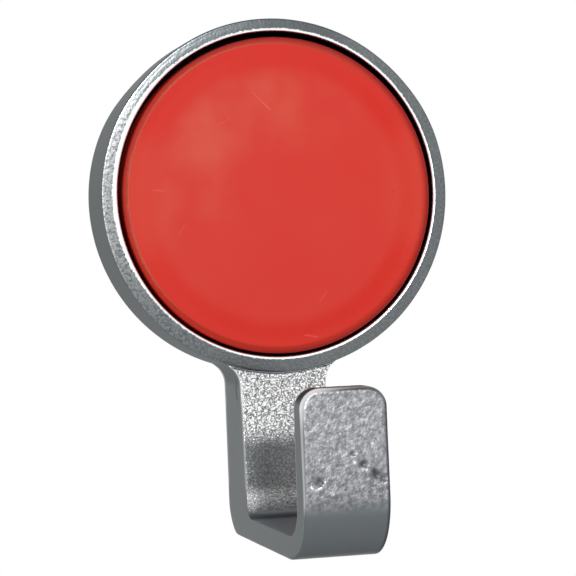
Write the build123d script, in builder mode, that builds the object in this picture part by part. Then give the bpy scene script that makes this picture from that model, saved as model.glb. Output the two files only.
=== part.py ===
from build123d import *
import os

os.makedirs("parts", exist_ok=True)

# Sizes are in millimetres. The wall is the plane y = 0, +Y points into the wall and +Z is up.
# The origin is on the wall, on the axis of the round head.

# Round head
head_diameter = 40.0
head_depth = 8.4
head_front_edge_bevel = 0.2

# Cup in the head: a wide bore for the cap, a ledge, and a narrower recess behind it
ring_width = 1.6
bore_edge_round = 0.35
cap_ledge_width = 3.9
recess_depth = 2.2
cup_floor_thickness = 2.4
screw_hole_diameter = 4.5

# Arm: a deep stem, a thin floor and an upturned tip
stem_width = 9.95
stem_step = 0.3
stem_lean = 0.9
stem_length = 16.2
neck_fillet = 2.6
throat_width = 20.5
floor_thickness = 2.2
toe_drop = 0.6
tip_height = 15.4
tip_width = 9.35
tip_thickness = 3.1
tip_corner_radius = 2.3
heel_radius = 3.2
outer_bend_radius = 7.0
inner_bend_radius = 3.4
inner_heel_radius = 1.4
casting_edge_round = 0.3

# Cap that fills the cup: a face with a low raised field, a rim that stands on the ledge,
# and a spigot in the recess. It has settled a little low in its clearance.
cap_side_gap = 0.5
cap_drop = 0.17
cap_proud = 0.45
cap_field_diameter = 29.0
cap_field_slope_width = 1.6
cap_field_height = 0.18
cap_face_thickness = 1.8
cap_bevel_width = 0.8
cap_bevel_height = 0.5
cap_rim_thickness = 1.6
spigot_thickness = 1.5
spigot_side_gap = 0.25
spigot_end_gap = 0.5

# Places that follow from the sizes above
head_radius = head_diameter / 2
bore_radius = head_radius - ring_width
recess_radius = bore_radius - cap_ledge_width
ledge_depth = cup_floor_thickness + recess_depth
stem_half_width = stem_width / 2
tip_half_width = tip_width / 2
stem_depth_at_neck = head_depth - stem_step
stem_depth_at_floor = stem_depth_at_neck + stem_lean
floor_drop = head_radius + stem_length
heel_drop = floor_drop + floor_thickness
toe_bottom_drop = heel_drop + toe_drop
tip_top_drop = floor_drop - tip_height
tip_back = stem_depth_at_floor + throat_width
arm_reach = tip_back + tip_thickness
cap_radius = bore_radius - cap_side_gap
cap_face_radius = cap_radius - cap_bevel_width
cap_rim_inner_radius = cap_radius - cap_rim_thickness
cap_front = head_depth + cap_proud
cap_field_front = cap_front + cap_field_height
cap_field_radius = cap_field_diameter / 2
cap_axis = Axis((0, 0, -cap_drop), (0, 1, 0))
cap_underside = cap_front - cap_face_thickness
spigot_radius = recess_radius - spigot_side_gap
spigot_inner_radius = spigot_radius - spigot_thickness
spigot_end = cup_floor_thickness + spigot_end_gap

# Side view of the arm as (y, z), from the head's axis at the wall round to the stem's front
arm_outline = [
    (0, 0),
    (0, -heel_drop),
    (-arm_reach, -toe_bottom_drop),
    (-arm_reach, -tip_top_drop),
    (-tip_back, -tip_top_drop),
    (-tip_back, -floor_drop - toe_drop / 2),
    (-stem_depth_at_floor, -floor_drop),
    (-stem_depth_at_neck, -head_radius),
    (-stem_depth_at_neck, 0),
]
arm_corner_radii = [0, heel_radius, outer_bend_radius, 0, 0, inner_bend_radius, inner_heel_radius, 0, 0]

# Side view of the stem alone, which ends inside the heel
stem_outline = [
    (-casting_edge_round, 0),
    (-casting_edge_round, heel_radius - heel_drop),
    (-stem_depth_at_floor, -floor_drop),
    (-stem_depth_at_neck, -head_radius),
    (-stem_depth_at_neck, 0),
]

with BuildPart() as arm:
    with BuildSketch(Plane.YZ) as arm_side_view:
        with BuildLine():
            FilletPolyline(*arm_outline, radius=arm_corner_radii, close=True)
        make_face()
    extrude(amount=stem_half_width, both=True)
    # Seen from above, the stem's sides are parallel and then curve gently in to the tip
    with BuildSketch(Plane.XY) as arm_top_view:
        with BuildLine():
            wall_line = Line((-stem_half_width, 0), (stem_half_width, 0))
            right_flank = Line(wall_line @ 1, (stem_half_width, -stem_depth_at_floor))
            right_curve = TangentArc(right_flank @ 1, (tip_half_width, -arm_reach), tangent=(0, -1))
            tip_line = Line(right_curve @ 1, (-tip_half_width, -arm_reach))
            left_flank = Line(wall_line @ 0, (-stem_half_width, -stem_depth_at_floor))
            TangentArc(left_flank @ 1, tip_line @ 1, tangent=(0, -1))
        make_face()
    extrude(amount=-toe_bottom_drop, mode=Mode.INTERSECT)
    # Top corners of the tip
    tip_top_edges = arm.faces().filter_by(Axis.Z).sort_by(Axis.Y)[0].edges().sort_by(Axis.X)
    fillet([tip_top_edges[0], tip_top_edges[-1]], tip_corner_radius)
    # Softened edges all along the inside and the outside of the hook
    tip_middle_drop = (floor_drop + tip_top_drop) / 2
    long_edges = [
        arm.edges().sort_by_distance((side * tip_half_width, face, -tip_middle_drop))[0]
        for side in (-1, 1)
        for face in (-tip_back, -arm_reach)
    ]
    fillet(long_edges, casting_edge_round)

# The stem's crisp front with its concave blends into the head. It starts just in front of the
# softened edges at the wall.
neck_corner_z = -((head_radius**2 - stem_half_width**2) ** 0.5)
with BuildPart() as stem:
    with BuildSketch(Plane.YZ) as stem_side_view:
        with BuildLine():
            Polyline(*stem_outline, close=True)
        make_face()
    extrude(amount=stem_half_width + neck_fillet, both=True)
    with BuildSketch(Plane.XZ) as stem_front_view:
        Circle(head_radius)
        with Locations((0, -heel_drop / 2)):
            Rectangle(stem_width, heel_drop)
        neck_corners = [
            stem_front_view.vertices().sort_by_distance((side * stem_half_width, neck_corner_z))[0]
            for side in (-1, 1)
        ]
        fillet(neck_corners, neck_fillet)
    extrude(amount=stem_depth_at_floor, mode=Mode.INTERSECT)

with BuildPart() as hook_body:
    with BuildSketch(Plane.XZ) as head_face:
        Circle(head_radius)
    extrude(amount=head_depth)
    add(arm.part)
    add(stem.part)
    # Cup, in two steps with the ledge between them
    with BuildSketch(Plane.XZ.offset(ledge_depth)) as bore_face:
        Circle(bore_radius)
    extrude(amount=head_depth - ledge_depth, mode=Mode.SUBTRACT)
    with BuildSketch(Plane.XZ.offset(cup_floor_thickness)) as recess_face:
        Circle(recess_radius)
    extrude(amount=recess_depth, mode=Mode.SUBTRACT)
    with Locations(Plane.XZ.offset(cup_floor_thickness)):
        Hole(radius=screw_hole_diameter / 2, depth=cup_floor_thickness)
    # The front ring's outer edge is broken and its inner lip is rounded
    rim = hook_body.edges().filter_by(GeomType.CIRCLE).sort_by_distance((head_radius, -head_depth, 0))[0]
    chamfer(rim, head_front_edge_bevel)
    lip = hook_body.edges().filter_by(GeomType.CIRCLE).sort_by_distance((bore_radius, -head_depth, 0))[0]
    fillet(lip, bore_edge_round)

with BuildPart() as face_cap:
    with BuildSketch(Plane.XY.offset(-cap_drop)) as cap_section:
        with BuildLine():
            Polyline(
                (0, -cap_field_front),
                (cap_field_radius, -cap_field_front),
                (cap_field_radius + cap_field_slope_width, -cap_front),
                (cap_face_radius, -cap_front),
                (cap_radius, cap_bevel_height - cap_front),
                (cap_radius, -ledge_depth),
                (cap_rim_inner_radius, -ledge_depth),
                (cap_rim_inner_radius, -cap_underside),
                (spigot_radius, -cap_underside),
                (spigot_radius, -spigot_end),
                (spigot_inner_radius, -spigot_end),
                (spigot_inner_radius, -cap_underside),
                (0, -cap_underside),
                close=True,
            )
        make_face()
    revolve(axis=cap_axis)

hook_body.part.label = "hook_body"
export_step(hook_body.part, "parts/hook_body.step")

face_cap.part.label = "face_cap"
export_step(face_cap.part, "parts/face_cap.step")
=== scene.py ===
import math
from types import SimpleNamespace

import bmesh
import bpy
import numpy as np
from mathutils import Matrix, Vector, noise


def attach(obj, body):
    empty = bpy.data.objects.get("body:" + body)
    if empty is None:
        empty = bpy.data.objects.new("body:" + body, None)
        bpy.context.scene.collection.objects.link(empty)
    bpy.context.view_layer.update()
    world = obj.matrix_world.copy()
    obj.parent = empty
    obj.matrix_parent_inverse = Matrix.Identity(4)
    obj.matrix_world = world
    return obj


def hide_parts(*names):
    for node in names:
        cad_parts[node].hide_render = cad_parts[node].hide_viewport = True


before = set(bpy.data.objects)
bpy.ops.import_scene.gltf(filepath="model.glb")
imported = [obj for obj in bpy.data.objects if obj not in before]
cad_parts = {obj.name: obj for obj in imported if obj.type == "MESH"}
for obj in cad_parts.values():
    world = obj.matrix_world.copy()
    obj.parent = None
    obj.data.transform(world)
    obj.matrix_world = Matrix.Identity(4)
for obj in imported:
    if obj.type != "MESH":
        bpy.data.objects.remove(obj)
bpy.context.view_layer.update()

# A millimetre in metres, and the photo's width in pixels
MM = 0.001
PICTURE = 576

# Where the camera stands, in metres, how it is turned, in degrees, its focal length in pixels, the width
# of its sensor in millimetres, and how near and far it sees, in metres
CAMERA_PLACE = Vector((-0.06375, -0.25152, -0.00969))
CAMERA_YAW = 14.89
CAMERA_PITCH = -0.228
CAMERA_ROLL = -2.238
CAMERA_FOCAL = 2228.0
CAMERA_SENSOR = 36
CAMERA_REACH = (0.01, 20.0)

# The studio: the grey that lights the hook, the floor's sizes in millimetres and its finish, and the
# light that it adds for the camera and in reflections
WORLD_LIGHT = 0.25
FLOOR_LEVEL = -330.0
FLOOR_RADIUS = 1600.0
FLOOR_FADE = (500.0, 1300.0)
FLOOR_CLOUDS = 40.0
FLOOR_PALE = (0.84, 0.84, 0.84)
FLOOR_PALER = (0.88, 0.88, 0.88)
FLOOR_LIFT = 0.57
FLOOR_ROUGHNESS = 0.9
FLOOR_SPECULAR = 0.1
WHITE = (1.0, 1.0, 1.0)

# The round soft boxes as azimuth and elevation in degrees, distance and width in metres, and
# brightness. All of them face this place on the hook.
LAMPS = {
    "key": (-2.0, 16.0, 1.2, 0.14, 186.0),
    "ring_glow": (-8.0, 2.0, 1.2, 0.17, 13.0),
}
LAMP_AIM = Vector((0.0, 0.0, -0.01))

# Sizes of the casting in millimetres. The origin is on the wall, on the head's axis.
HEAD_RADIUS = 20.0
HEAD_DEPTH = 8.4
RING_CROWN = 0.08
BORE_RADIUS = 18.4
RECESS_RADIUS = 14.5
LEDGE_DEPTH = 4.6
CUP_FLOOR = 2.4
HOLE_RADIUS = 2.25
STEM_HALF_WIDTH = 4.975
STEM_DEPTH_AT_NECK = 8.1
STEM_DEPTH_AT_FLOOR = 9.0
NECK_FILLET = 2.6
FLOOR_DROP = 36.2
HEEL_DROP = 38.65
TOE_DROP = 0.6
TIP_TOP = -20.8
TIP_BACK = 29.5
ARM_REACH = 32.6
TIP_HALF_WIDTH = 4.675
TIP_CORNER = 2.3
INNER_HEEL_RADIUS = 1.4
INNER_BEND_RADIUS = 3.4
HEEL_RADIUS = 3.8
OUTER_BEND_RADIUS = 7.0

# Roundings of the head's edges from its back over the front into the cup, and how many points lie on
# each straight run and each rounding in turn
HEAD_ROUNDINGS = [0.35, 0.2, 0.35, 0.15, 0.2, 0.2, 0.15]
HEAD_STEPS = [5, 4, 16, 4, 8, 8, 6, 2, 4, 2, 3, 2, 5, 2, 2]

# The same along the arm: down the stem, round the heel, along the floor, round the bend and up the
# tip, where the points are given as shares of its height and crowd together near the top
TIP_EVEN_STEPS = np.arange(100) / 100 * 0.96
TIP_CROWDED_STEPS = 0.96 + 0.04 * np.sin(np.radians(range(0, 90, 10)))
ARM_STEPS = [64, 22, 34, 44, np.concatenate([TIP_EVEN_STEPS, TIP_CROWDED_STEPS])]

# The rounding of the arm's long edges, from inside the head (0) to the top of the tip (1)
ROUNDING_PLACES = [0, 0.25, 0.35, 0.62, 0.78, 1]
FRONT_ROUNDING = [0.12, 0.12, 0.18, 0.25, 0.35, 0.35]
BACK_ROUNDING = [0.30, 0.30, 0.40, 0.40, 0.48, 0.60]
EDGE_ARC = np.radians(np.linspace(0, 90, 7))

# The arm's first ring lies inside the head's wall, on this radius, and the rings straighten below it
ROOT_RADIUS = 19.3
ROOT_BLEND = 4.0

# The width and the lift there depend on each other, so they are worked out in this many rounds. The
# flare at the neck ends just before it would be level.
LIFT_ROUNDS = 6
FLARE_SHARE = 0.95

# Worn edges, partly real wear and partly a painted highlight: how far from the edge the wear begins to
# fade and where it ends, how much further the painted highlight reaches at the tip's upper left corner,
# and where that corner begins and is reached along x and z
WEAR_START = 0.03
WEAR_REACH = 0.32
WEAR_AND_HIGHLIGHT_AT_CORNER = 0.28
HIGHLIGHT_CORNER_X = (1.0, -3.0)
HIGHLIGHT_CORNER_Z = (-25.5, -22.8)

# Sizes of the cap
CAP_DROP = 0.17
CAP_FIELD_RADIUS = 14.5
CAP_FIELD_FRONT = 9.03
CAP_SLOPE_RADIUS = 16.1
CAP_FRONT = 8.85
CAP_FACE_RADIUS = 17.1
CAP_RADIUS = 17.9
CAP_BEVEL_END = 8.35
CAP_RIM_INNER = 16.3
CAP_UNDERSIDE = 7.05
SPIGOT_RADIUS = 14.25
SPIGOT_INNER = 12.75
SPIGOT_END = 2.9
CAP_ROUNDINGS = [10.0, 5.0, 0.22, 0.6, 0.1, 0.1, 0.3, 0.3, 0.1, 0.1, 0.3]
CAP_STEPS = [24, 8, 3, 6, 4, 6, 4, 5, 6, 2, 3, 2, 4, 2, 3, 2, 6, 2, 3, 2, 6, 2, 6]

# Points closer than this many metres become one, and edges sharper than these degrees are not smoothed
WELD_DISTANCE = 1e-6
SHARP_ANGLE = 38

# How far the head's rim lies outside a true circle, as (degrees from the right, millimetres). Where it
# lies inside, the front keeps this share less of it than the back.
RIM_OFF_ROUND = [
    (0, 0.20), (25, 0.18), (44, -0.10), (70, -0.22), (110, -0.30), (129, -0.42), (139, -0.42),
    (148, -0.15), (156, -0.02), (176, 0.08), (200, 0.10), (242, 0.14), (286, 0.14), (315, 0.20),
    (360, 0.20),
]
RIM_FRONT_LESS = 0.35
RIM_SMOOTHING = (-5, 0, 5)
RIM_RADII = (BORE_RADIUS + 0.5, HEAD_RADIUS - 0.4)
RIM_Z = (-24.5, -20.5)

# How the bore and the cap's rim lie off their true circles, as a shift to the right and a loss of radius
BORE_SHIFT = 0.22
BORE_SHRINK = 0.10
BORE_RADII_IN = (17.0, 18.2)
BORE_RADII_OUT = (BORE_RADIUS + 0.9, BORE_RADIUS + 0.3)
CAP_RIM_SHIFT = 0.28
CAP_RIM_SHRINK = 0.02
CAP_RIM_RADII = (17.05, 17.6)

# The cast skin: its lumps, as a size and a shift that keeps them apart from the others, their heights,
# the share of them that the head has, how far all the skin lies in, and how far out it may come
SMALL_LUMPS = (0.5, 0)
LARGE_LUMPS = (1.3, 7)
WIDE_LUMPS = (6.0, 3)
SKIN_LARGE = 0.012
SKIN_WIDE = 0.02
SKIN_ON_HEAD = 0.25
SKIN_TIP_SMALL = 0.010
SKIN_TIP_LARGE = 0.016
SKIN_STEM_SMALL = 0.02
SKIN_INSET = 0.035
SKIN_LIMIT = 0.08
SKIN_FACES_FRONT = (0.55, 0.95)
SKIN_ARM_Z = (-20.2, -20.8)
SKIN_WALL_Y = (0.0, -1.0)
TIP_FRONT_Y = -31.0
STEM_FRONT_Y = (-12.0, -7.0)
TIP_INSET = 0.09
TIP_INSET_Y = (-31.2, -32.4)

# Marks on the tip's front, as (x, z, radius, height) in millimetres: lumps above 0 and pits below
TIP_MARKS = [
    (1.00, -28.20, 0.28, 0.14), (0.70, -27.80, 0.24, -0.12), (1.02, -28.87, 0.27, 0.12),
    (1.80, -28.92, 0.36, -0.22), (2.20, -29.66, 0.32, 0.19), (3.22, -30.15, 0.46, -0.30),
    (2.90, -29.70, 0.26, -0.10), (4.22, -31.12, 0.32, 0.20), (3.85, -30.50, 0.30, -0.16),
    (-2.95, -30.55, 0.42, -0.20), (-3.70, -31.20, 0.24, 0.10), (-3.25, -31.35, 0.24, 0.12),
    (-2.78, -31.15, 0.24, 0.12), (-2.43, -30.65, 0.22, 0.10), (-1.40, -32.10, 0.30, 0.06),
    (0.60, -25.10, 0.35, 0.05), (-0.90, -27.20, 0.40, -0.06), (-3.10, -25.40, 0.30, 0.05),
    (1.90, -24.30, 0.35, -0.06), (-1.90, -29.40, 0.35, 0.05), (2.60, -26.70, 0.30, -0.06),
]

# The height up to which a mark keeps the colour round it, how fast it gets its own above that, and how
# strong that colour can get. A lump's own colour is partly wear and partly a painted highlight, a pit's is
# painted shade
MARK_UNSEEN = 0.06
MARK_CONTRAST = 25
MARK_STRONGEST = 0.9

# A short bent groove on the left side of the stem, as two strokes from (y, z) to (y, z)
SIDE_GROOVE = [((-6.22, -21.16), (-5.62, -22.05)), ((-5.62, -22.05), (-6.05, -23.03))]
GROOVE_WIDTH = 0.35
GROOVE_STRENGTH = 1.2

# Scuffs on the cap's face as start, end, width and strength, and specks as x, z and size
CAP_SCUFFS = [
    ((-2.53, 11.46), (-1.30, 10.20), 0.10, 0.35),
    ((-1.30, 10.20), (-0.52, 9.40), 0.12, 0.55),
    ((-14.28, 0.77), (-13.15, 0.63), 0.09, 0.50),
    ((2.53, -16.07), (4.05, -16.36), 0.12, 0.45),
    ((4.32, -12.41), (5.31, -11.21), 0.10, 0.30),
    ((-6.4, 7.9), (-5.2, 8.6), 0.10, 0.22),
    ((-11.6, -4.4), (-10.9, -3.2), 0.12, 0.20),
]
CAP_SPECKS = [(13.6, -0.11, 0.13), (-8.2, -9.6, 0.09), (6.6, 12.9, 0.09)]
SPECK_LENGTH = 0.05
SPECK_STRENGTH = 0.8

# How much wider than its width a stroke fades out, and its strength on its line
STROKE_SPREAD = 1.3
STROKE_STRENGTH = 0.75

# Linear colours
METAL = (0.140, 0.154, 0.159)
METAL_DARK = (0.108, 0.119, 0.124)
METAL_FLECK = (0.255, 0.265, 0.268)
METAL_WALL = (0.180, 0.196, 0.202)
METAL_SIDE = (0.205, 0.222, 0.226)
METAL_STEM = (0.90, 0.905, 0.91)
METAL_STEM_VEIN = (0.15, 0.155, 0.16)
METAL_FLOOR = (0.23, 0.255, 0.28)
METAL_TIP = (0.305, 0.31, 0.325)
METAL_TIP_BACK = (0.60, 0.605, 0.61)
METAL_TIP_LOW = (0.130, 0.135, 0.145)
# Painted shade in the inner corner at the heel
METAL_HEEL_SHADE = (0.095, 0.110, 0.125)
# Painted shade on the tip's crest, far right edge and pits, and the colour of the stem's groove
METAL_GROOVE_AND_SHADE = (0.055, 0.058, 0.062)
# A painted highlight on the ring's lower left
METAL_PAINTED_HIGHLIGHT = (0.185, 0.190, 0.192)
# Painted shade on the ring's top, and the colour of the ring's specks
METAL_SPECKS_AND_SHADE = (0.070, 0.078, 0.082)
# Painted shade on the inside of the cup behind the cap
METAL_CUP_SHADE = (0.010, 0.008, 0.008)
# Worn edges and lip, partly real wear and partly a painted highlight
METAL_WORN_AND_HIGHLIGHT = (0.82, 0.83, 0.84)
METAL_TINT = (0.5, 0.5, 0.5, 1.0)
RED = (0.628, 0.022, 0.012)
RED_PALE = (0.626, 0.038, 0.024)
# Pale cloudy patches, with a painted sheen at the cap's upper left
RED_CLOUD_AND_SHEEN = (0.645, 0.085, 0.050)
# Painted shade on the cap's bevel, stronger at its bottom
RED_BEVEL_SHADE = (0.46, 0.040, 0.024)
RED_BEVEL_LOW_SHADE = (0.50, 0.028, 0.012)
# Painted shade on the cap's side in the gap, and a painted lighter side at the left
RED_SIDE_SHADE = (0.28, 0.009, 0.008)
RED_SIDE_LIT = (0.66, 0.014, 0.010)
# A pale line worn by rubbing, partly a painted highlight
RED_RUBBED_HIGHLIGHT = (0.72, 0.16, 0.10)
RED_SCUFF = (0.78, 0.16, 0.12)
RED_SPECK = (0.20, 0.02, 0.02)

# Sizes of the finishes' textures, and the depths of those that are bumps, in millimetres
TONE_SIZE = 3.0
FLECK_SIZE = 0.32
TOP_SHADE_SIZE = 1.6
RING_SPECK_SIZE = 0.36
MOTTLE_SIZE = 0.55
JAG_SIZE = 0.35
LUMP_SIZE, LUMP_DEPTH = 0.80, 0.070
VEIN_SIZE, VEIN_DEPTH = 0.37, 0.045
GRAIN_SIZE, GRAIN_DEPTH = 1 / 3.3, 0.13
SPECK_SIZE, SPECK_DEPTH = 0.24, 0.12
PATCH_SIZE = 7.0
CLOUD_SIZE = 6.0
UNEVEN_SIZE = 0.22
FRAY_SIZE = 0.4
RUB_SIZE = 2.5
MATT_SIZE, MATT_DEPTH = 0.25, 0.006

# The values of a texture between which its marks fade in, and how strong they are
NOISE_MIDDLE = 0.5
ROUGH_NOISE = 0.55
VEIN_VALUES = (0.0, 0.105)
FLECK_VALUES, FLECK_STRENGTH = (0.38, 0.68), 0.35
RING_SPECK_VALUES, RING_SPECK_STRENGTH = (0.48, 0.61), 0.75
MOTTLE_VALUES, MOTTLE_STRENGTH = (0.34, 0.66), 0.80
CLOUD_VALUES, CLOUD_STRENGTH = (0.30, 0.80), 0.95
UNEVEN_VALUES, UNEVEN_STRENGTH = (0.35, 0.75), 0.22

# The share that is left of the lumps off the tip, of the grain off the stem, and of the veins' colour
# lower down the stem
LUMPS_ELSEWHERE = 0.10
GRAIN_ELSEWHERE = 0.02
GRAIN_ON_TIP = 0.14
GRAIN_ON_BACK = 0.12
GRAIN_ON_RING = 0.12
VEINS_LOWER = 0.6
VEINS_AT_FOOT = 0.7

# The ring's bright lip, partly wear and partly a painted highlight: how ragged it is, and how much
# wider it gets at the upper left and narrower at the right
LIP_RAGGED = 0.25
LIP_WIDER = 0.16
LIP_WIDER_BELOW = 0.2
LIP_NARROWER = 0.05

# How strong the other marks of the casting are. Among them the ring's top shade, the crest, the far
# edge and the stem's shadow are painted shade, and the bright edges are partly a painted highlight
FLECKS_ON_BACK = 0.8
TOP_SHADE_RAGGED = 3.0
TOP_SHADE_STRENGTH = 0.85
CREST_ON_TOP = 0.6
EDGE_HIGHLIGHT_RIGHT = 0.3
EDGE_BRIGHT = (0.4, 0.9)
FAR_EDGE_STRENGTH = 0.95
STEM_SHADOW_STRENGTH = 0.88
STEM_SHADOW_RIGHT = 0.65
TIP_LOWER_STRENGTH = 0.30
TOE_STRENGTH = 0.75

# How the casting shines: its roughness where it is smooth and where it is satin, how satin the wall
# and the ring are, what wear and the crest add to it, and how much less metallic the blasted faces are
METAL_ROUGHNESS = (0.22, 0.46)
WALL_SATIN = 0.85
RING_SATIN = 0.2
WORN_SMOOTHER = 0.16
CREST_ROUGHER = 0.35
BLASTED_LESS_METALLIC = 0.35
STEM_BLASTED = 2.4

# How strong the cap's marks are, the painted shade of its bevel and side and its partly painted
# highlight line among them, and how it shines
BORDER_STRENGTH = (-0.15, 0.55)
PATCH_STRENGTH = 0.8
SIDE_CLOUD_STRENGTH = 0.3
FRAY_DEPTH = 0.16
BEVEL_ON_RIGHT = 0.35
DEEP_STRENGTH = 0.9
RUBBED_HIGHLIGHT_ON_RIGHT = 0.12
RUBBED_HIGHLIGHT_BELOW = 0.1
CAP_ROUGHNESS = 0.6
CAP_SPECULAR = 0.2

# Places between which one finish, painted shade or painted highlight of the casting fades into the
# next, in millimetres: along x
LIP_WIDE_X = (-18.0, -9.0)
TOP_SHADE_START_X = (-16.5, -12.3)
RING_HIGHLIGHT_X = (-14.0, -8.0)
RING_SPECKS_X = (-12.0, -5.0)
TOP_SHADE_END_X = (4.0, 12.0)
LIP_NARROW_X = (8.0, 16.0)
STEM_SHADOW_X = (-4.0, 0.5)
EDGE_HIGHLIGHT_X = (-3.5, 2.0)
FAR_EDGE_X = (4.12, 4.50)

# Along y, where -32.6 is the tip's front and 0 the wall
THROAT_Y = (-25.0, -20.0)
HEEL_START_Y = (-12.5, -9.6)
HEEL_END_Y = (-8.7, -8.4)
CUP_START_Y = (-8.2, -8.0)
LIP_END_Y = (-8.05, -7.9)
CUP_END_Y = (-1.5, -0.5)

# Along z, where 20 is the head's top, -20.8 the tip's and -38.7 the underside
TOP_SHADE_Z = (6.0, 12.0)
LIP_WIDE_Z = (-13.0, -4.0)
RING_HIGHLIGHT_Z = (-14.0, -5.0)
ARM_Z = (-22.0, -20.5)
CREST_Z = (-24.5, -22.5)
EDGE_BRIGHT_Z = (-26.0, -22.5)
STEM_SHADOW_START_Z = (-28.6, -26.2)
VEINS_WEAKER_Z = (-29.5, -26.0)
FLOOR_Z = (-32.0, -30.0)
TIP_LOWER_Z = (-33.5, -26.0)
STEM_SHADOW_END_Z = (-34.0, -32.4)
VEINS_END_Z = (-34.4, -33.0)
TIP_END_Z = (-34.3, -32.4)
TOE_Z = (-34.6, -33.4)
STEM_SHADE_Z = (-36.0, -34.2)
HEEL_Z = (-36.3, -35.2)
STEM_END_Z = (-36.3, -35.5)

# Out from the head's axis
LIP_START_RADIUS = (18.30, 18.38)
CUP_RADIUS = (18.40, 18.45)
LIP_END_RADIUS = (18.70, 18.84)
WALL_RADIUS = (19.7, 19.9)
RING_RADIUS = (20.0, 20.1)
ARM_RADIUS = (20.0, 20.3)

# The same for how far a face is turned to the right, to the wall or up, where 1 is fully
FACES_LEFT = (-0.8, -0.6)
FACES_SIDE = (0.6, 0.9)
FACES_NO_SIDE = (0.3, 0.6)
FACES_FRONT = (-0.95, -0.75)
FACES_TOE = (-0.7, -0.4)
FACES_OUT_START = (-0.6, -0.4)
FACES_OUT_END = (0.6, 0.9)
FACES_FULLY = (0.75, 0.95)
FACES_CREST = (0.1, 0.7)
FACES_CREST_TOP = (0.88, 0.98)

# The same on the cap, in millimetres along x and z and out from its axis
SIDE_CLOUD_X = (11.0, 15.5)
SIDE_CLOUD_Z = (4.0, 9.0)
SHEEN_SLANT = (-6.0, 14.0)
CLOUD_START_RADIUS = (3.0, 8.0)
CLOUD_END_RADIUS = (12.5, 15.0)
BORDER_RADIUS = (13.6, 15.2)
BEVEL_RADIUS = (16.9, 17.4)
BEVEL_WEAKER_X = (6.0, 17.0)
BEVEL_LOW_Z = (-12.0, 4.0)
DEEP_RADIUS = (17.3, 18.0)
RIM_LIT_X = (-12.0, 2.0)
RIM_LIT_Z = (10.0, 16.0)
RUBBED_HIGHLIGHT_START_RADIUS = (17.08, 17.2)
RUBBED_HIGHLIGHT_END_RADIUS = (17.26, 17.4)
RUBBED_HIGHLIGHT_X = (-14.0, 6.0)
RUBBED_HIGHLIGHT_Z = (-15.0, -6.0)


class Material:
    """A short way to write a material's nodes."""

    def __init__(self, name):
        self.material = bpy.data.materials.new(name)
        self.material.use_nodes = True
        self.tree = self.material.node_tree
        self.tree.nodes.clear()

    def put(self, socket, value):
        if isinstance(value, bpy.types.NodeSocket):
            self.tree.links.new(value, socket)
        else:
            socket.default_value = value

    def add(self, kind, inputs, **settings):
        made = self.tree.nodes.new("ShaderNode" + kind)
        for key, value in settings.items():
            setattr(made, key, value)
        for key, value in inputs.items():
            self.put(made.inputs[key], value)
        return made

    def maths(self, operation, a, b=0.0):
        return self.add("Math", {0: a, 1: b}, operation=operation).outputs[0]

    def several(self, operation, values):
        made = values[0]
        for value in values[1:]:
            made = self.maths(operation, made, value)
        return made

    def product(self, *values):
        return self.several("MULTIPLY", values)

    def total(self, *values):
        return self.several("ADD", values)

    def largest(self, *values):
        return self.several("MAXIMUM", values)

    def less(self, value, loss):
        return self.maths("SUBTRACT", value, loss)

    def size(self, value):
        return self.maths("ABSOLUTE", value)

    def distance(self, a, b):
        """How far a place is from the axis of these two coordinates."""
        return self.maths("SQRT", self.total(self.product(a, a), self.product(b, b)))

    def position(self):
        """Object coordinates in millimetres."""
        place = self.add("TexCoord", {}).outputs["Object"]
        return self.add("VectorMath", {0: place, "Scale": 1 / MM}, operation="SCALE").outputs[0]

    def split(self, vector):
        return self.add("SeparateXYZ", {0: vector}).outputs

    def attribute(self, name):
        return self.add("Attribute", {}, attribute_name=name).outputs["Fac"]

    def noise(self, place, size, detail=2.0, roughness=0.5):
        """Noise from 0 to 1 with features of about this size in millimetres."""
        inputs = {"Vector": place, "Scale": 1 / size, "Detail": detail, "Roughness": roughness}
        return self.add("TexNoise", inputs).outputs[0]

    def ramp(self, value, span, start=0.0, end=1.0):
        """A smooth step from start to end while the value goes through the span."""
        inputs = {0: value, 1: span[0], 2: span[1], 3: start, 4: end}
        return self.add("MapRange", inputs, interpolation_type="SMOOTHSTEP").outputs[0]

    def fall(self, value, span):
        """A smooth step from 1 to 0 while the value goes through the span."""
        return self.ramp(value, span, 1.0, 0.0)

    def between(self, mask, start, end):
        """A value that goes from start, where the mask is 0, to end, where it is 1."""
        return self.ramp(mask, (0.0, 1.0), start, end)

    def stroke(self, x, z, start, end, width, strength):
        """A soft stroke from start to end, given in the two coordinates, that is strongest on its line."""
        run = (end[0] - start[0], end[1] - start[1])
        length = math.hypot(*run)
        along = (run[0] / length, run[1] / length)
        dx = self.less(x, start[0])
        dz = self.less(z, start[1])
        ahead = self.total(self.product(dx, along[0]), self.product(dz, along[1]))
        aside = self.less(self.product(dx, along[1]), self.product(dz, along[0]))
        beyond = self.largest(self.less(ahead, length), self.product(ahead, -1.0), 0.0)
        away = self.total(self.size(aside), beyond)
        return self.ramp(away, (0.0, width * STROKE_SPREAD), strength * STROKE_STRENGTH, 0.0)

    def mix(self, factor, a, b):
        colours = {6: a if isinstance(a, bpy.types.NodeSocket) else (*a, 1)}
        colours[7] = b if isinstance(b, bpy.types.NodeSocket) else (*b, 1)
        return self.add("Mix", {0: factor, **colours}, data_type="RGBA").outputs[2]

    def bump(self, height, depth, normal=None):
        """A bump whose height of 0 to 1 stands for this depth in millimetres."""
        inputs = {"Height": height, "Distance": depth * MM, "Strength": 1.0}
        if normal is not None:
            inputs["Normal"] = normal
        return self.add("Bump", inputs).outputs[0]

    def output(self, shader):
        end = self.tree.nodes.new("ShaderNodeOutputMaterial")
        self.tree.links.new(shader.outputs[0], end.inputs[0])
        return self.material

    def finish(self, inputs):
        return self.output(self.add("BsdfPrincipled", inputs))


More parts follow.
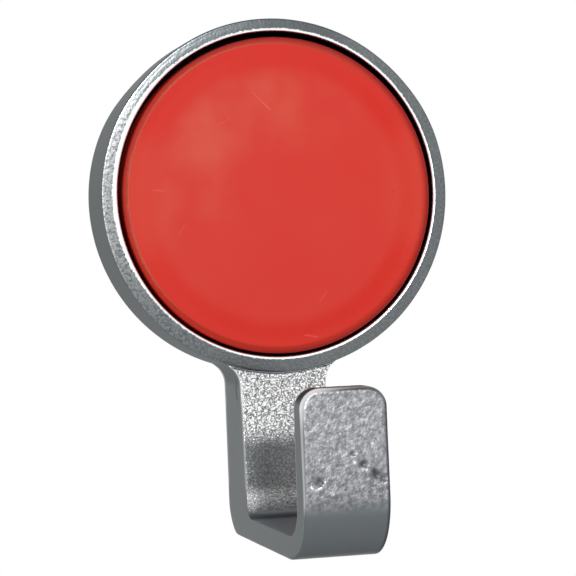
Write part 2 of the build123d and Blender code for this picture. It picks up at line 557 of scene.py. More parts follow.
def smooth_step(value, low, high):
    """0 where the value is at low, 1 where it is at high, and a smooth step between them."""
    t = np.clip((value - low) / (high - low), 0, 1)
    return t * t * (3 - 2 * t)


def rounded(points, radii, steps):
    """An open line with rounded corners. Steps gives each straight run and each arc in turn its
    number of points, or the shares of its length at which they lie."""
    steps = [np.arange(s) / s if isinstance(s, int) else np.array(s) for s in steps]
    corners = [np.array(p, float) for p in points]
    start, made = corners[0], []
    for k, radius in enumerate(radii):
        before, corner, after = corners[k : k + 3]
        back = (before - corner) / np.linalg.norm(before - corner)
        on = (after - corner) / np.linalg.norm(after - corner)
        half = math.acos(np.clip(back @ on, -1, 1)) / 2
        reach = radius / math.tan(half)
        begin, end = corner + back * reach, corner + on * reach
        centre = corner + (back + on) / np.linalg.norm(back + on) * radius / math.sin(half)
        turn = math.copysign(math.pi - 2 * half, back[1] * on[0] - back[0] * on[1])
        angles = math.atan2(*(begin - centre)[::-1]) + turn * steps[2 * k + 1]
        made.append(start + np.outer(steps[2 * k], begin - start))
        made.append(centre + radius * np.stack([np.cos(angles), np.sin(angles)], 1))
        start = end
    made.append(start + np.outer(steps[-1], corners[-1] - start))
    made.append(corners[-1:])
    return np.concatenate(made)


def half_width(y, z):
    """Half the arm's width at a place on its side, with the flare at the neck and the tip's corners."""
    out = np.clip((-y - STEM_DEPTH_AT_FLOOR) / (ARM_REACH - STEM_DEPTH_AT_FLOOR), 0, 1)
    width = STEM_HALF_WIDTH - (STEM_HALF_WIDTH - TIP_HALF_WIDTH) * out**2
    flare_x = STEM_HALF_WIDTH + NECK_FILLET
    flare_z = -math.sqrt((HEAD_RADIUS + NECK_FILLET) ** 2 - flare_x**2)
    rise = np.clip(z - flare_z, 0, NECK_FILLET * FLARE_SHARE)
    flared = flare_x - np.sqrt(NECK_FILLET**2 - rise**2)
    over = np.clip(z - (TIP_TOP - TIP_CORNER), 0, TIP_CORNER)
    capped = width - TIP_CORNER + np.sqrt(TIP_CORNER**2 - over**2)
    return np.where(y > -TIP_BACK / 2, np.where(z > flare_z, flared, width), capped)


def edge_distance(x, y, z):
    """How far a place on the arm's front or back is from the outline of that face."""
    side = half_width(y, np.minimum(z, TIP_TOP - TIP_CORNER)) - np.abs(x)
    on_tip = y < -TIP_BACK / 2
    over_x = TIP_CORNER - side
    over_z = z - (TIP_TOP - TIP_CORNER)
    corner = TIP_CORNER - np.hypot(np.maximum(over_x, 0), np.maximum(over_z, 0))
    flat = np.minimum(side, TIP_TOP - z)
    at_tip = np.where((over_x > 0) & (over_z > 0), corner, flat)
    return np.maximum(np.where(on_tip, at_tip, half_width(y, z) - np.abs(x)), 0)


def lifted(y, z, x, slope, bend):
    """A place on the arm, raised to follow the head's round wall where the arm starts."""
    lift = bend * (ROOT_RADIUS - np.sqrt(ROOT_RADIUS**2 - x**2))
    return y + lift * slope, z + lift


def arm_row(point, radius, inward, slope, bend, across):
    """Points across the arm's front or back, with rounded edges, and how far each of them is from the
    outline of that face."""
    width = half_width(*point)
    for _ in range(LIFT_ROUNDS):
        width = half_width(*lifted(*point, width, slope, bend))
    width = float(width)
    edge = radius * (1 - np.cos(EDGE_ARC))
    middle = np.linspace(-(width - radius), width - radius, across)[1:-1]
    x = np.concatenate([-(width - edge), middle, (width - edge)[::-1]])
    y, z = lifted(*point, x, slope, bend)
    gap = edge_distance(x, y, z)
    inset = radius - np.sqrt(np.maximum(radius**2 - np.maximum(radius - gap, 0) ** 2, 0))
    return np.stack([x, y + inset * inward[0], z + inset * inward[1]], 1), gap


def arm_surface(across, deep):
    """Rings of points round the arm, from inside the head to the top of the tip, and how far each point
    is from the outline of its face."""
    root = -ROOT_RADIUS
    lean = (STEM_DEPTH_AT_FLOOR - STEM_DEPTH_AT_NECK) / (FLOOR_DROP - HEAD_RADIUS)
    stem_root = -STEM_DEPTH_AT_NECK + lean * (HEAD_RADIUS - ROOT_RADIUS)
    front = rounded(
        [(stem_root, root), (-STEM_DEPTH_AT_FLOOR, -FLOOR_DROP),
         (-TIP_BACK, -FLOOR_DROP - TOE_DROP / 2), (-TIP_BACK, TIP_TOP)],
        [INNER_HEEL_RADIUS, INNER_BEND_RADIUS], ARM_STEPS)
    back = rounded(
        [(0, root), (0, -HEEL_DROP), (-ARM_REACH, -HEEL_DROP - TOE_DROP), (-ARM_REACH, TIP_TOP)],
        [HEEL_RADIUS, OUTER_BEND_RADIUS], ARM_STEPS)
    place = np.linspace(0, 1, len(front))
    front_rounding = np.interp(place, ROUNDING_PLACES, FRONT_ROUNDING)
    back_rounding = np.interp(place, ROUNDING_PLACES, BACK_ROUNDING)
    share = np.linspace(0, 1, deep + 2)[1:-1]
    far = np.ones(deep)
    rings, gaps = [], []
    for f, b, front_radius, back_radius in zip(front, back, front_rounding, back_rounding):
        inward = (b - f) / np.linalg.norm(b - f)
        bend = smooth_step(f[1], root - ROOT_BLEND, root) if f[0] > -TIP_BACK / 2 else 0.0
        front_row, front_gap = arm_row(f, front_radius, inward, lean, bend, across)
        back_row, back_gap = arm_row(b, back_radius, -inward, 0.0, bend, across)
        sides = []
        for end, sign in ((-1, 1), (0, -1)):
            line = front_row[end] + np.outer(share, back_row[end] - front_row[end])
            line[:, 0] = sign * half_width(line[:, 1], line[:, 2])
            sides.append(line)
        rings.append(np.concatenate([front_row, sides[0], back_row[::-1], sides[1][::-1]]))
        gaps.append(np.concatenate([front_gap, far, back_gap[::-1], far]))
    return np.array(rings), np.array(gaps)


def close_end(points, faces, first, row, deep):
    """Closes an end of the arm with a grid between the front row and the back row of its ring."""
    last = first + 2 * row + deep - 1
    grid = np.zeros((deep + 2, row), int)
    grid[0] = first + np.arange(row)
    grid[-1] = last - np.arange(row)
    for i in range(1, deep + 1):
        grid[i, 0] = last + deep + 1 - i
        grid[i, -1] = first + row + i - 1
        for j in range(1, row - 1):
            grid[i, j] = len(points)
            start, end = points[first + j], points[last - j]
            points.append(start + (end - start) * i / (deep + 1))
    for i in range(deep + 1):
        for j in range(row - 1):
            faces.append((grid[i, j], grid[i, j + 1], grid[i + 1, j + 1], grid[i + 1, j]))


def arm_mesh(across=62, deep=10):
    """Vertices, faces and how near each vertex is to a worn edge, whose wear stands partly for a painted
    highlight.
    """
    rings, gaps = arm_surface(across, deep)
    count, around = rings.shape[:2]
    row = around // 2 - deep
    points = list(rings.reshape(-1, 3))
    x, _, z = rings.reshape(-1, 3).T
    # The wear reaches further at the tip's upper left corner, where it stands for a painted highlight
    corner = smooth_step(z, *HIGHLIGHT_CORNER_Z) * smooth_step(x, *HIGHLIGHT_CORNER_X)
    worn = 1 - smooth_step(gaps.ravel(), WEAR_START, WEAR_REACH + WEAR_AND_HIGHLIGHT_AT_CORNER * corner)
    faces = []
    for k in range(count - 1):
        for j in range(around):
            a, b = k * around + j, k * around + (j + 1) % around
            faces.append((a, b, b + around, a + around))
    for first in (0, (count - 1) * around):
        close_end(points, faces, first, row, deep)
    unworn = np.zeros(len(points) - len(worn))
    return np.array(points), faces, np.concatenate([worn, unworn])


def turned(profile, segments, closed=True):
    """A profile of (radius, y) turned about the hook's Y axis."""
    angles = np.arange(segments) * 2 * math.pi / segments
    radius, y = profile.T
    x = np.outer(np.cos(angles), radius)
    z = np.outer(np.sin(angles), radius)
    points = np.stack([x, np.tile(y, (segments, 1)), z], 2).reshape(-1, 3)
    n = len(profile)
    faces = []
    for k in range(segments):
        for j in range(n if closed else n - 1):
            a, b = k * n + j, k * n + (j + 1) % n
            over = (k + 1) % segments * n - k * n
            faces.append((a, b, b + over, a + over))
    return points, faces


def head_mesh(segments=480):
    """The head with its cup, turned from one section."""
    front = -HEAD_DEPTH
    profile = rounded(
        [(HOLE_RADIUS, 0), (HEAD_RADIUS, 0), (HEAD_RADIUS, front + RING_CROWN), (BORE_RADIUS, front),
         (BORE_RADIUS, -LEDGE_DEPTH), (RECESS_RADIUS, -LEDGE_DEPTH), (RECESS_RADIUS, -CUP_FLOOR),
         (HOLE_RADIUS, -CUP_FLOOR), (HOLE_RADIUS, 0)],
        HEAD_ROUNDINGS, HEAD_STEPS)
    return turned(profile[:-1], segments)


def make_object(name, points, faces, welded=False):
    """An object from points in millimetres, with its faces turned outwards."""
    mesh = bpy.data.meshes.new(name)
    mesh.from_pydata((points * MM).tolist(), [], faces)
    mesh.validate()
    shell = bmesh.new()
    shell.from_mesh(mesh)
    if welded:
        bmesh.ops.remove_doubles(shell, verts=shell.verts, dist=WELD_DISTANCE)
    bmesh.ops.recalc_face_normals(shell, faces=shell.faces)
    shell.to_mesh(mesh)
    shell.free()
    made = bpy.data.objects.new(name, mesh)
    bpy.context.scene.collection.objects.link(made)
    return made


def smooth_faces(mesh):
    """Smooth shading, except at sharp edges."""
    mesh.shade_smooth()
    mesh.set_sharp_from_angle(angle=math.radians(SHARP_ANGLE))


def read_points(mesh):
    """The mesh's points in millimetres."""
    values = np.zeros(len(mesh.vertices) * 3, np.float32)
    mesh.vertices.foreach_get("co", values)
    return values.reshape(-1, 3) / MM


def write_points(mesh, points):
    mesh.vertices.foreach_set("co", (points * MM).astype(np.float32).ravel())
    mesh.update()


def off_round(mesh):
    """Moves the head's rim and bore off their true circles, as the casting has them. The finish follows
    the true circles, so each point's distance from the axis is kept before the move."""
    co = read_points(mesh)
    x, y, z = co.T
    radius = np.hypot(x, z).astype(np.float32)
    mesh.attributes.new("radius", "FLOAT", "POINT").data.foreach_set("value", radius)
    angle = np.degrees(np.arctan2(z, x)) % 360
    degrees, outside = np.array(RIM_OFF_ROUND).T
    rim = sum(np.interp(angle + turn, degrees, outside, period=360) for turn in RIM_SMOOTHING)
    rim /= len(RIM_SMOOTHING)
    rim *= np.where(rim < 0, 1 - RIM_FRONT_LESS * smooth_step(-y, 0, HEAD_DEPTH), 1)
    outer = smooth_step(radius, *RIM_RADII) * smooth_step(z, *RIM_Z)
    inner = smooth_step(radius, *BORE_RADII_OUT) * smooth_step(radius, *BORE_RADII_IN)
    out = (outer * rim - inner * BORE_SHRINK) / np.maximum(radius, 1)
    co[:, 0] = x * (1 + out) + inner * BORE_SHIFT
    co[:, 2] = z * (1 + out)
    write_points(mesh, co)


def lumps(points, size, shift):
    """How far the lumps of this size lie out or in at each point, from -1 to 1."""
    return np.array([noise.noise(Vector(p / size + shift)) for p in points])


def cast_skin(mesh):
    """Moves the casting's skin in and out a little, as the mould left it, with a few marks."""
    co = read_points(mesh)
    x, y, z = co.T
    facing = np.zeros(co.size, np.float32)
    mesh.vertex_normals.foreach_get("vector", facing)
    facing = facing.reshape(-1, 3)
    front = smooth_step(-facing[:, 1], *SKIN_FACES_FRONT)
    on_arm = smooth_step(z, *SKIN_ARM_Z)
    tip = front * on_arm * (y < TIP_FRONT_Y)
    stem = front * on_arm * (y > STEM_FRONT_Y[0]) * (y < STEM_FRONT_Y[1])
    small, large, wide = (lumps(co, *sort) for sort in (SMALL_LUMPS, LARGE_LUMPS, WIDE_LUMPS))
    calm = SKIN_ON_HEAD + (1 - SKIN_ON_HEAD) * on_arm
    amount = calm * (SKIN_LARGE * large + SKIN_WIDE * wide)
    amount += tip * (SKIN_TIP_SMALL * small + SKIN_TIP_LARGE * large) + stem * SKIN_STEM_SMALL * small
    worn = np.zeros(len(co), np.float32)
    mesh.attributes["worn"].data.foreach_get("value", worn)
    # Lumps get a bright colour, partly wear and partly a painted highlight, and pits a painted shade
    for mark_x, mark_z, radius, height in TIP_MARKS:
        shape = tip * np.exp(-((x - mark_x) ** 2 + (z - mark_z) ** 2) / radius**2)
        amount += shape * height
        seen = np.clip((abs(height) - MARK_UNSEEN) * MARK_CONTRAST, 0, MARK_STRONGEST)
        worn += shape * seen * math.copysign(1, height)
    mesh.attributes["worn"].data.foreach_set("value", np.clip(worn, -1, 1).astype(np.float32))
    amount = np.minimum(amount - SKIN_INSET, SKIN_LIMIT)
    amount *= smooth_step(y, *SKIN_WALL_Y)
    co += facing * amount[:, None]
    co[:, 1] += TIP_INSET * smooth_step(co[:, 1], *TIP_INSET_Y)
    write_points(mesh, co)


def make_casting():
    """The whole casting as one closed skin: the turned head and the arm, joined."""
    head = make_object("hook_casting", *head_mesh())
    points, faces, worn = arm_mesh()
    arm = make_object("arm", points, faces)
    arm.data.attributes.new("worn", "FLOAT", "POINT").data.foreach_set("value", worn.astype(np.float32))
    head.data.attributes.new("worn", "FLOAT", "POINT")
    join = head.modifiers.new("join", "BOOLEAN")
    join.operation = "UNION"
    join.solver = "MANIFOLD"
    join.object = arm
    shown = head.evaluated_get(bpy.context.evaluated_depsgraph_get())
    mesh = bpy.data.meshes.new_from_object(shown)
    head.modifiers.clear()
    head.data = mesh
    mesh.name = "hook_casting"
    bpy.data.objects.remove(arm)
    off_round(mesh)
    cast_skin(mesh)
    smooth_faces(mesh)
    mesh.materials.clear()
    mesh.materials.append(blasted_metal())
    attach(head, "root")
    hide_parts("hook_body")


def make_cap(segments=320):
    """The cap, turned about an axis a little below the head's own."""
    profile = rounded(
        [(0, -CAP_FIELD_FRONT), (CAP_FIELD_RADIUS, -CAP_FIELD_FRONT), (CAP_SLOPE_RADIUS, -CAP_FRONT),
         (CAP_FACE_RADIUS, -CAP_FRONT), (CAP_RADIUS, -CAP_BEVEL_END), (CAP_RADIUS, -LEDGE_DEPTH),
         (CAP_RIM_INNER, -LEDGE_DEPTH), (CAP_RIM_INNER, -CAP_UNDERSIDE),
         (SPIGOT_RADIUS, -CAP_UNDERSIDE), (SPIGOT_RADIUS, -SPIGOT_END), (SPIGOT_INNER, -SPIGOT_END),
         (SPIGOT_INNER, -CAP_UNDERSIDE), (0, -CAP_UNDERSIDE)],
        CAP_ROUNDINGS, CAP_STEPS)
    points, faces = turned(profile, segments, closed=False)
    rim = smooth_step(np.hypot(points[:, 0], points[:, 2]), *CAP_RIM_RADII)[:, None]
    points = points * (1 - rim * [[1, 0, 1]] * CAP_RIM_SHRINK / CAP_RADIUS) + rim * [[CAP_RIM_SHIFT, 0, 0]]
    points[:, 2] -= CAP_DROP
    cap = make_object("cap_disc", points, faces, welded=True)
    smooth_faces(cap.data)
    cap.data.materials.append(matt_red())
    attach(cap, "root")
    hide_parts("face_cap")


def metal_places(m, place):
    """Where each finish, painted shade and painted highlight of the casting lies, from 0 to 1, by its
    place and the way it faces.
    """
    x, y, z = m.split(place)
    to_right, to_wall, to_top = m.split(m.add("NewGeometry", {}).outputs["True Normal"])
    radius = m.attribute("radius")
    far_out = m.fall(y, THROAT_Y)
    faces_front = m.fall(to_wall, FACES_FRONT)
    front = m.product(m.ramp(radius, ARM_RADIUS), faces_front)
    back = m.ramp(to_wall, FACES_FULLY)
    # The tip's top, where painted shade dims its reflection of the cap
    crest = m.product(m.ramp(to_top, FACES_CREST), far_out, m.ramp(z, CREST_Z))
    level = m.fall(m.size(to_right), FACES_NO_SIDE)
    outward = m.product(m.ramp(to_wall, FACES_OUT_START), m.fall(to_wall, FACES_OUT_END))
    wall = m.product(m.ramp(radius, WALL_RADIUS), outward)
    toe = m.product(m.fall(z, TOE_Z), m.fall(to_wall, FACES_TOE))
    # Painted shade along the tip's far right edge
    far_edge = m.product(m.ramp(x, FAR_EDGE_X), far_out, FAR_EDGE_STRENGTH)
    return SimpleNamespace(
        x=x, y=y, z=z, radius=radius, to_right=to_right, back=back,
        ring=m.product(m.fall(radius, RING_RADIUS), faces_front),
        flank=m.product(m.ramp(m.size(to_right), FACES_SIDE), m.fall(z, ARM_Z)),
        tip=m.product(front, far_out, m.ramp(z, TIP_END_Z)),
        tip_back=m.product(back, far_out),
        stem=m.product(front, m.ramp(y, THROAT_Y), m.ramp(z, STEM_END_Z)),
        floor=m.product(m.ramp(to_top, FACES_FULLY), m.fall(z, FLOOR_Z)),
        # The heel's inner corner, where shade is painted
        heel=m.product(level, m.ramp(y, HEEL_START_Y), m.fall(y, HEEL_END_Y), m.fall(z, HEEL_Z)),
        crest=m.product(crest, m.ramp(to_top, FACES_CREST_TOP, 1.0, CREST_ON_TOP)),
        # The inside of the cup, where shade is painted
        cup=m.product(m.fall(radius, CUP_RADIUS), m.ramp(y, CUP_START_Y), m.fall(y, CUP_END_Y)),
        wall=m.product(wall, m.ramp(z, ARM_Z), m.ramp(y, THROAT_Y)),
        toe=m.product(toe, m.ramp(y, THROAT_Y, TOE_STRENGTH, 0.0)),
        far_edge=m.product(far_edge, m.fall(to_right, FACES_FULLY)),
    )


def lip_wear_and_highlight(m, place, at):
    """The ring's bright inner lip, partly wear and partly a painted highlight, with a ragged outer edge.
    It is widest at the upper left, where the highlight is painted strongest.
    """
    jag = m.product(m.less(m.noise(place, JAG_SIZE), NOISE_MIDDLE), LIP_RAGGED)
    above = m.ramp(at.z, LIP_WIDE_Z, LIP_WIDER_BELOW, 1.0)
    wider = m.product(m.ramp(at.x, LIP_WIDE_X, LIP_WIDER, 0.0), above)
    jag = m.total(m.less(jag, wider), m.ramp(at.x, LIP_NARROW_X, 0.0, LIP_NARROWER))
    edge = m.fall(m.total(at.radius, jag), LIP_END_RADIUS)
    return m.product(edge, m.ramp(at.radius, LIP_START_RADIUS), m.fall(at.y, LIP_END_Y))


def metal_marks(m, place, at):
    """Adds the ring's lip and the bright edges and lumps, each partly wear and partly a painted highlight,
    the painted shade in the pits, and the groove.
    """
    worn = m.attribute("worn")
    at.lip = lip_wear_and_highlight(m, place, at)
    # Edges and lumps: partly wear, and a painted highlight that is weak on the right
    right = m.ramp(at.x, EDGE_HIGHLIGHT_X, 1.0, EDGE_HIGHLIGHT_RIGHT)
    at.edge = m.product(m.largest(worn, 0.0), m.ramp(at.z, TIP_END_Z), right)
    # Painted shade in the pits
    at.pit = m.largest(m.product(worn, -1.0), 0.0)
    strokes = [m.stroke(at.y, at.z, *ends, GROOVE_WIDTH, GROOVE_STRENGTH) for ends in SIDE_GROOVE]
    at.groove = m.product(m.largest(*strokes), m.fall(at.to_right, FACES_LEFT))
    veins = m.size(m.less(m.noise(place, VEIN_SIZE, 1.0), NOISE_MIDDLE))
    at.veins = m.ramp(veins, VEIN_VALUES)


def metal_relief(m, place, at):
    """Lumps on the tip, veins on the stem, and a fine grain that is strongest on the stem."""
    fine = m.total(m.between(at.stem, GRAIN_ELSEWHERE, 1.0), m.between(at.tip, 0.0, GRAIN_ON_TIP))
    fine = m.total(fine, m.product(m.largest(at.back, m.product(at.ring, GRAIN_ON_RING)), GRAIN_ON_BACK))
    grain = m.add("TexVoronoi", {"Vector": place, "Scale": 1 / GRAIN_SIZE, "Randomness": 1.0})
    lumpy = m.product(m.noise(place, LUMP_SIZE, 2.0, ROUGH_NOISE), m.between(at.tip, LUMPS_ELSEWHERE, 1.0))
    normal = m.bump(lumpy, LUMP_DEPTH)
    normal = m.bump(m.product(at.veins, at.stem), VEIN_DEPTH, normal)
    normal = m.bump(m.product(grain.outputs["Distance"], fine), GRAIN_DEPTH, normal)
    return m.bump(m.product(m.noise(place, SPECK_SIZE, 1.0), fine), SPECK_DEPTH, normal)


def head_colour(m, place, at):
    """Two tones with flecks, and on the ring a painted highlight on the lower left, painted shade at the
    top and specks.
    """
    colour = m.mix(m.noise(place, TONE_SIZE, 3.0), METAL_DARK, METAL)
    flecks = m.ramp(m.noise(place, FLECK_SIZE), FLECK_VALUES, 0.0, FLECK_STRENGTH)
    marked = m.largest(at.ring, m.product(at.back, FLECKS_ON_BACK))
    colour = m.mix(m.product(marked, flecks), colour, METAL_FLECK)
    # Painted highlight on the ring's lower left
    ring_highlight = m.product(at.ring, m.fall(at.x, RING_HIGHLIGHT_X), m.ramp(at.z, RING_HIGHLIGHT_Z))
    colour = m.mix(ring_highlight, colour, METAL_PAINTED_HIGHLIGHT)
    # Painted shade on the ring's top, with a ragged edge
    ragged = m.total(at.x, m.product(m.noise(place, TOP_SHADE_SIZE), TOP_SHADE_RAGGED))
    top_shade = m.product(at.ring, m.ramp(ragged, TOP_SHADE_START_X), m.fall(at.x, TOP_SHADE_END_X))
    top_shade = m.product(top_shade, m.ramp(at.z, TOP_SHADE_Z), TOP_SHADE_STRENGTH)
    colour = m.mix(top_shade, colour, METAL_SPECKS_AND_SHADE)
    specks = m.product(at.ring, m.ramp(m.noise(place, RING_SPECK_SIZE), RING_SPECK_VALUES))
    specks = m.product(specks, m.ramp(at.x, RING_SPECKS_X, RING_SPECK_STRENGTH, 0.0))
    return m.mix(specks, colour, METAL_SPECKS_AND_SHADE)


def stem_colour(m, at):
    """Pale blasted metal with dark veins, with the tip's shadow painted on it as a dark band and painted
    shade at its foot.
    """
    veins = m.product(m.less(1.0, at.veins), m.ramp(at.z, VEINS_WEAKER_Z, VEINS_LOWER, 1.0))
    veins = m.product(veins, m.ramp(at.z, VEINS_END_Z, VEINS_AT_FOOT, 1.0))
    # Painted shadow of the tip in a band across the stem, and painted shade at the stem's foot
    painted_shadow = m.ramp(at.z, STEM_SHADOW_START_Z, STEM_SHADOW_STRENGTH, 0.0)
    painted_shadow = m.product(painted_shadow, m.ramp(at.z, STEM_SHADOW_END_Z), m.ramp(at.x, STEM_SHADOW_X, 1.0, STEM_SHADOW_RIGHT))
    painted_shadow = m.largest(painted_shadow, m.fall(at.z, STEM_SHADE_Z))
    return m.mix(painted_shadow, m.mix(veins, METAL_STEM, METAL_STEM_VEIN), METAL)


def tip_colour(m, place, at):
    """A mottled front, a little darker towards its foot."""
    mottled = m.noise(place, MOTTLE_SIZE, 2.0, ROUGH_NOISE)
    mottled = m.ramp(mottled, MOTTLE_VALUES, 0.0, MOTTLE_STRENGTH)
    low = m.total(m.ramp(at.z, TIP_LOWER_Z, TIP_LOWER_STRENGTH, 0.0), mottled)
    return m.mix(low, METAL_TIP, METAL_TIP_LOW)


def metal_colour(m, place, at):
    """The head's colour, then that of each place on the arm, and last the bright edges and lip, partly
    wear and partly painted highlight, and the painted shade of the far edge and pits with the groove.
    """
    # The bright edges and lumps, partly wear and partly a painted highlight that is strongest near the
    # tip's top
    bright = m.product(at.edge, m.ramp(at.z, EDGE_BRIGHT_Z, *EDGE_BRIGHT))
    layers = [
        (at.tip_back, METAL_TIP_BACK),
        (at.wall, METAL_WALL),
        (at.flank, METAL_SIDE),
        (at.stem, stem_colour(m, at)),
        (at.tip, tip_colour(m, place, at)),
        (at.toe, METAL_DARK),
        (at.floor, METAL_FLOOR),
        (at.heel, METAL_HEEL_SHADE),
        (at.crest, METAL_GROOVE_AND_SHADE),
        (at.cup, METAL_CUP_SHADE),
        (bright, METAL_WORN_AND_HIGHLIGHT),
        (m.largest(at.far_edge, at.pit, at.groove), METAL_GROOVE_AND_SHADE),
        (at.lip, METAL_WORN_AND_HIGHLIGHT),
    ]
    colour = head_colour(m, place, at)
    for mask, paint in layers:
        colour = m.mix(mask, colour, paint)
    return colour


def blasted_metal():
    """Bead-blasted casting: satin on the arm, smoother on the head, and brightest where it is worn or a
    highlight is painted.
    """
    m = Material("blasted_metal")
    place = m.position()
    at = metal_places(m, place)
    metal_marks(m, place, at)
    blasted = m.largest(m.product(at.stem, STEM_BLASTED), at.tip, at.floor)
    satin = m.largest(at.tip, at.floor, at.heel, at.crest)
    satin = m.largest(satin, m.product(at.wall, WALL_SATIN), m.product(at.ring, RING_SATIN))
    roughness = m.less(m.between(satin, *METAL_ROUGHNESS), m.product(at.edge, WORN_SMOOTHER))
    return m.finish({
        "Base Color": metal_colour(m, place, at),
        "Metallic": m.less(1.0, m.product(blasted, m.less(1.0, at.edge), BLASTED_LESS_METALLIC)),
        "Roughness": m.total(roughness, m.product(at.crest, CREST_ROUGHER)),
        "Specular Tint": METAL_TINT,
        "Normal": metal_relief(m, place, at),
    })


def red_field(m, place, x, z, radius):
    """A pale field with cloudy patches that carry a painted sheen at the upper left, and a deeper border.
    """
    border = m.ramp(radius, BORDER_RADIUS, *BORDER_STRENGTH)
    border = m.total(border, m.product(m.noise(place, PATCH_SIZE, 3.0), PATCH_STRENGTH))
    colour = m.mix(border, RED_PALE, RED)
    clouds_and_sheen = m.product(m.ramp(m.noise(place, CLOUD_SIZE), CLOUD_VALUES), m.fall(radius, CLOUD_END_RADIUS))
    # The cloudy patches grow toward the upper left as a painted sheen
    clouds_and_sheen = m.product(clouds_and_sheen, m.ramp(m.less(z, x), SHEEN_SLANT), m.ramp(radius, CLOUD_START_RADIUS))
    colour = m.mix(m.product(clouds_and_sheen, CLOUD_STRENGTH), colour, RED_CLOUD_AND_SHEEN)
    sides = m.ramp(m.size(z), SIDE_CLOUD_Z, SIDE_CLOUD_STRENGTH, 0.0)
    colour = m.mix(m.product(m.ramp(m.size(x), SIDE_CLOUD_X), sides), colour, RED_CLOUD_AND_SHEEN)
    uneven = m.ramp(m.noise(place, UNEVEN_SIZE), UNEVEN_VALUES, 0.0, UNEVEN_STRENGTH)
    return m.mix(uneven, colour, RED_PALE)


def red_rim(m, place, x, z, radius, colour):
    """Adds the bevel's painted shade, the side below it in painted shade that is painted lighter at the
    left, and a pale line where the bevel begins, worn by rubbing and partly a painted highlight.
    """
    frayed = m.total(radius, m.product(m.noise(place, FRAY_SIZE), FRAY_DEPTH))
    # Painted shade on the bevel, weaker on the right
    bevel = m.mix(m.ramp(z, BEVEL_LOW_Z), RED_BEVEL_LOW_SHADE, RED_BEVEL_SHADE)
    shade = m.ramp(x, BEVEL_WEAKER_X, 1.0, BEVEL_ON_RIGHT)
    colour = m.mix(m.product(m.ramp(frayed, BEVEL_RADIUS), shade), colour, bevel)
    # The cap's side in the gap: painted shade, painted lighter at the left
    deep = m.mix(m.product(m.fall(x, RIM_LIT_X), m.fall(z, RIM_LIT_Z)), RED_SIDE_SHADE, RED_SIDE_LIT)
    colour = m.mix(m.ramp(frayed, DEEP_RADIUS, 0.0, DEEP_STRENGTH), colour, deep)
    # A pale line worn by rubbing and partly a painted highlight, strongest at the upper left
    rubbed_highlight = m.product(m.ramp(frayed, RUBBED_HIGHLIGHT_START_RADIUS), m.fall(frayed, RUBBED_HIGHLIGHT_END_RADIUS))
    rubbed_highlight = m.product(rubbed_highlight, m.ramp(x, RUBBED_HIGHLIGHT_X, 1.0, RUBBED_HIGHLIGHT_ON_RIGHT))
    rubbed_highlight = m.product(rubbed_highlight, m.ramp(z, RUBBED_HIGHLIGHT_Z, RUBBED_HIGHLIGHT_BELOW, 1.0), m.noise(place, RUB_SIZE))
    return m.mix(rubbed_highlight, colour, RED_RUBBED_HIGHLIGHT)


def matt_red():
    """Matt moulded plastic: its field, its rim, and the scuffs and specks on them."""
    m = Material("matt_red")
    place = m.position()
    x, _, z = m.split(place)
    radius = m.distance(x, m.total(z, CAP_DROP))
    colour = red_rim(m, place, x, z, radius, red_field(m, place, x, z, radius))
    for scuff in CAP_SCUFFS:
        colour = m.mix(m.stroke(x, z, *scuff), colour, RED_SCUFF)
    for spot_x, spot_z, size in CAP_SPECKS:
        ends = (spot_x, spot_z), (spot_x + SPECK_LENGTH, spot_z)
        colour = m.mix(m.stroke(x, z, *ends, size, SPECK_STRENGTH), colour, RED_SPECK)
    return m.finish({
        "Base Color": colour,
        "Roughness": CAP_ROUGHNESS,
        "Specular IOR Level": CAP_SPECULAR,
        "Normal": m.bump(m.noise(place, MATT_SIZE), MATT_DEPTH),
    })


def make_camera():
    """A level camera turned to the right by the yaw, then tilted and rolled."""
    yaw, pitch, roll = (math.radians(a) for a in (CAMERA_YAW, CAMERA_PITCH, CAMERA_ROLL))
    ahead = Vector((math.sin(yaw) * math.cos(pitch), math.cos(yaw) * math.cos(pitch), math.sin(pitch)))
    level_right = Vector((math.cos(yaw), -math.sin(yaw), 0))
    level_up = level_right.cross(ahead)
    right = level_right * math.cos(roll) + level_up * math.sin(roll)
    up = level_up * math.cos(roll) - level_right * math.sin(roll)
    data = bpy.data.cameras.new("camera")
    data.sensor_fit = "HORIZONTAL"
    data.sensor_width = CAMERA_SENSOR
    data.lens = CAMERA_SENSOR * CAMERA_FOCAL / PICTURE
    data.clip_start, data.clip_end = CAMERA_REACH
    camera = bpy.data.objects.new("camera", data)
    turn = Matrix((right, up, -ahead)).transposed()
    camera.matrix_world = Matrix.Translation(CAMERA_PLACE) @ turn.to_4x4()
    bpy.context.scene.collection.objects.link(camera)
    bpy.context.scene.camera = camera


def make_lamp(name, azimuth, elevation, distance, size, radiance):
    """A round soft box seen from the hook at this azimuth and elevation, in degrees."""
    a, e = math.radians(azimuth), math.radians(elevation)
    back = Vector((math.sin(a) * math.cos(e), -math.cos(a) * math.cos(e), math.sin(e)))
    data = bpy.data.lights.new(name, "AREA")
    data.shape = "DISK"
    data.size = size
    data.energy = radiance * math.pi * math.pi * size * size / 4
    lamp = bpy.data.objects.new(name, data)
    lamp.location = LAMP_AIM + back * distance
    lamp.rotation_mode = "QUATERNION"
    lamp.rotation_quaternion = back.to_track_quat("Z", "Y")
    bpy.context.scene.collection.objects.link(lamp)


def ray_kind(tree):
    """1 for rays of the camera and for reflected and refracted rays."""
    paths = tree.nodes.new("ShaderNodeLightPath")
    seen = paths.outputs["Is Camera Ray"]
    for other in ("Is Glossy Ray", "Is Transmission Ray"):
        either = tree.nodes.new("ShaderNodeMath")
        either.operation = "MAXIMUM"
        tree.links.new(seen, either.inputs[0])
        tree.links.new(paths.outputs[other], either.inputs[1])
        seen = either.outputs[0]
    return seen


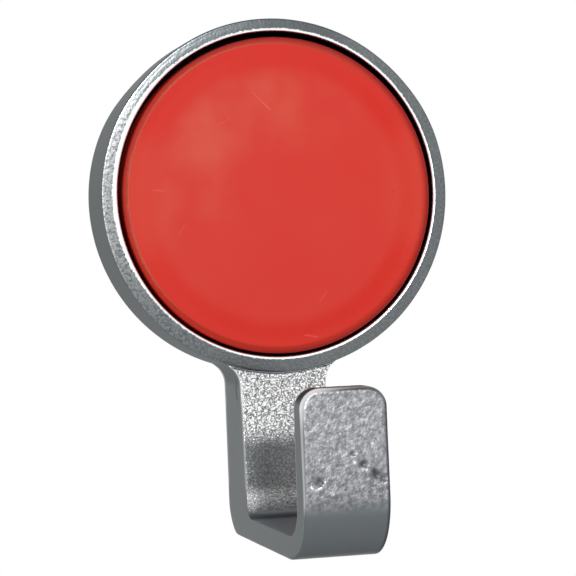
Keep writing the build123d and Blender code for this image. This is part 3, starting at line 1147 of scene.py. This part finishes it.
def pale_floor():
    """A pale floor that looks white where it is lit, keeps shadows, and fades to the backdrop's white."""
    m = Material("pale_floor")
    place = m.position()
    x, y, _ = m.split(place)
    seen = ray_kind(m.tree)
    colour = m.mix(m.noise(place, FLOOR_CLOUDS, 3.0), FLOOR_PALE, FLOOR_PALER)
    surface = {"Base Color": colour, "Roughness": FLOOR_ROUGHNESS, "Specular IOR Level": FLOOR_SPECULAR}
    near = m.add("BsdfPrincipled", surface)
    lift = m.add("Emission", {"Color": (*WHITE, 1), "Strength": m.product(seen, FLOOR_LIFT)})
    near = m.add("AddShader", {0: near.outputs[0], 1: lift.outputs[0]})
    far = m.add("Emission", {"Color": (*WHITE, 1), "Strength": m.between(seen, WORLD_LIGHT, 1.0)})
    fade = m.ramp(m.distance(x, y), FLOOR_FADE)
    return m.output(m.add("MixShader", {0: fade, 1: near.outputs[0], 2: far.outputs[0]}))


def make_floor(segments=96):
    """A round floor below the hook, low enough to leave every view of the hook free."""
    points, faces = turned(np.array([(0.0, 0.0), (FLOOR_RADIUS, 0.0)]), segments, closed=False)
    floor = make_object("floor", points[:, [0, 2, 1]], faces, welded=True)
    if sum(face.normal.z for face in floor.data.polygons) < 0:
        floor.data.flip_normals()
    floor.location = (0, 0, FLOOR_LEVEL * MM)
    floor.data.materials.append(pale_floor())


def make_world():
    """White to the camera and in reflections, soft grey as a light."""
    world = bpy.data.worlds.new("studio")
    world.use_nodes = True
    tree = world.node_tree
    background = tree.nodes["Background"]
    mix = tree.nodes.new("ShaderNodeMix")
    mix.data_type = "RGBA"
    tree.links.new(ray_kind(tree), mix.inputs[0])
    mix.inputs[6].default_value = (WORLD_LIGHT, WORLD_LIGHT, WORLD_LIGHT, 1)
    mix.inputs[7].default_value = (*WHITE, 1)
    tree.links.new(mix.outputs[2], background.inputs[0])
    bpy.context.scene.world = world


make_camera()
make_world()
make_floor()
for lamp_name, lamp_values in LAMPS.items():
    make_lamp(lamp_name, *lamp_values)
make_casting()
make_cap()
bpy.context.scene.view_settings.view_transform = "Standard"
